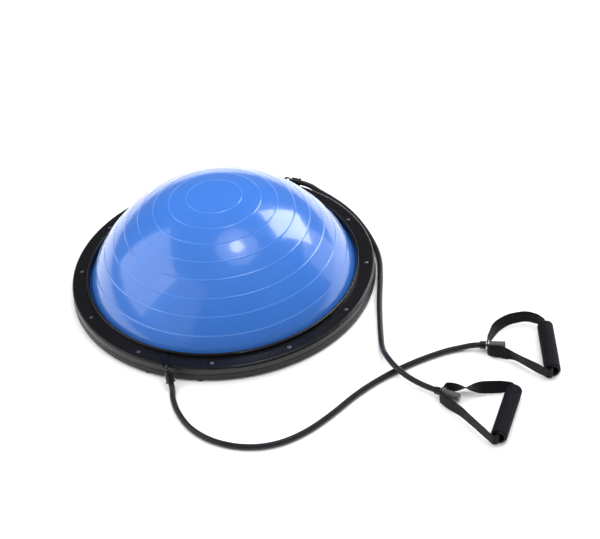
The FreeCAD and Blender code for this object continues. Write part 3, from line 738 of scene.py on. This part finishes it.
def add_grip(handle):
    half = GRIP_LENGTH / 2 * MM
    ends = [math.pi / 2 * index / FOAM_ROUND_STEPS for index in range(FOAM_ROUND_STEPS + 1)]
    outer_end = [(FOAM_RADIUS - FOAM_END_ROUND * (1 - math.cos(a)),
                  half - FOAM_END_ROUND * (1 - math.sin(a))) for a in ends]
    body = [(FOAM_RADIUS, half * (1 - 2 * index / FOAM_BODY_STEPS) * FOAM_BODY_SHARE)
            for index in range(FOAM_BODY_STEPS + 1)]
    other_end = [(r, -z) for r, z in outer_end]
    profile = outer_end[::-1] + body[1:-1] + other_end
    profile += [(FOAM_BORE, -half), (FOAM_BORE, half)]
    grip = lathe(handle.side + "_grip_foam", profile, FOAM_SIDES, handle.grip_middle,
                 handle.grip_axis)
    finish_piece(grip, FINISHES["foam"], handle.side + "_grip", "foam", handle.side + "_foam_grip")


FRONT_HANDLE = Handle(
    "front",
    top_side=((0, APEX_HALF, 15), (12, 50, 50), (34, 72, 50), (66, 82, 30), (88, 73, 25)),
    low_side=((46, -27, 60), (24, -18, 30)),
    top_twists=((0, 0), (11, 0), (50, 20), (125, 8), (152, 0)),
    low_twists=((0, 0), (12, 0), (30, -32), (68, 10), (120, 0)))
REAR_HANDLE = Handle(
    "rear",
    top_side=((0, APEX_HALF, APEX_TURN_RADIUS), (40, 31, 60), (90, 56, 40)),
    low_side=((50, -31, 80), (16, -20.5, 20)),
    top_twists=((0, 0), (18, 0), (92, -141), (112, -150), (132, -180)),
    low_twists=((0, -180), (14, -180), (40, -188), (110, -180)))


# ---- light and floor ----
FLOOR_SIZE = 30.0
DOME_MIDDLE = Vector((0, 0, 0.1))
HORIZON_GREY = (0.16, 0.16, 0.165, 1)
UPPER_GREY = (0.09, 0.09, 0.095, 1)
HORIZON_TOP = 0.12             # heights of the sky's direction between which it darkens
UPPER_START = 0.45


def add_floor():
    mesh = bpy.data.meshes.new("floor")
    half = FLOOR_SIZE / 2
    mesh.from_pydata([(-half, -half, 0), (half, -half, 0), (half, half, 0), (-half, half, 0)],
                     [], [(0, 1, 2, 3)])
    floor = add_object("floor", mesh)
    finish = Finish("floor", (0.9, 0.9, 0.9), 0.8)
    finish.shade(finish.ramp(finish.noise(2.0, 2.0), 0.0, 1.0), 0.995, 1.005)
    mesh.materials.append(finish.material)


def add_softbox(name, azimuth, elevation, distance, watts, width, height=None, mirrored=True):
    """An area lamp that faces the dome from that direction, in degrees, metres and watts.

    Without a height it is round, and mirrored says if gloss shows it.
    """
    data = bpy.data.lights.new(name, "AREA")
    data.shape = "RECTANGLE" if height else "DISK"
    data.size = width
    if height:
        data.size_y = height
    data.energy = watts
    lamp = add_object(name, data)
    flat = math.cos(math.radians(elevation))
    way = polar(flat, azimuth, math.sin(math.radians(elevation)))
    turn = (-way).to_track_quat("-Z", "Y")
    lamp.matrix_world = Matrix.LocRotScale(DOME_MIDDLE + way * distance, turn, None)
    lamp.visible_glossy = mirrored


def add_world():
    """A dim grey room, a little lighter at the horizon, so that black plastic stays black."""
    world = bpy.data.worlds.new("studio")
    world.use_nodes = True
    tree = world.node_tree
    place = tree.nodes.new("ShaderNodeTexCoord")
    apart = tree.nodes.new("ShaderNodeSeparateXYZ")
    ramp = tree.nodes.new("ShaderNodeValToRGB")
    ramp.color_ramp.elements[0].position = HORIZON_TOP
    ramp.color_ramp.elements[0].color = HORIZON_GREY
    ramp.color_ramp.elements[1].position = UPPER_START
    ramp.color_ramp.elements[1].color = UPPER_GREY
    tree.links.new(place.outputs["Generated"], apart.inputs[0])
    tree.links.new(apart.outputs["Z"], ramp.inputs[0])
    tree.links.new(ramp.outputs[0], tree.nodes["Background"].inputs["Color"])
    bpy.context.scene.world = world


def add_light():
    add_world()
    add_softbox("overhead", -22, 77, 2.48, 5, 0.46)
    add_softbox("overhead_glow", -22, 77, 2.6, 8, 1.5)
    add_softbox("ceiling", 90, 88, 5.0, 765, 13, 13, mirrored=False)
    add_softbox("left_box", 172.5, 31, 2.3, 19.5, 2.1, 1.85)
    add_softbox("left_fill", -142, 30, 2.4, 5, 1.8, 2.0)
    add_softbox("right_box", 31, 34.5, 2.4, 29, 1.05, 1.25)
    add_softbox("right_wall", 17, 12, 2.6, 6.5, 1.3, 1.4)
    bpy.context.scene.view_settings.view_transform = "Standard"


paint_cad_nodes()
add_dome()
add_strap(FRONT_HANDLE)
add_strap(REAR_HANDLE)
add_grip(FRONT_HANDLE)
add_grip(REAR_HANDLE)
add_floor()
add_light()
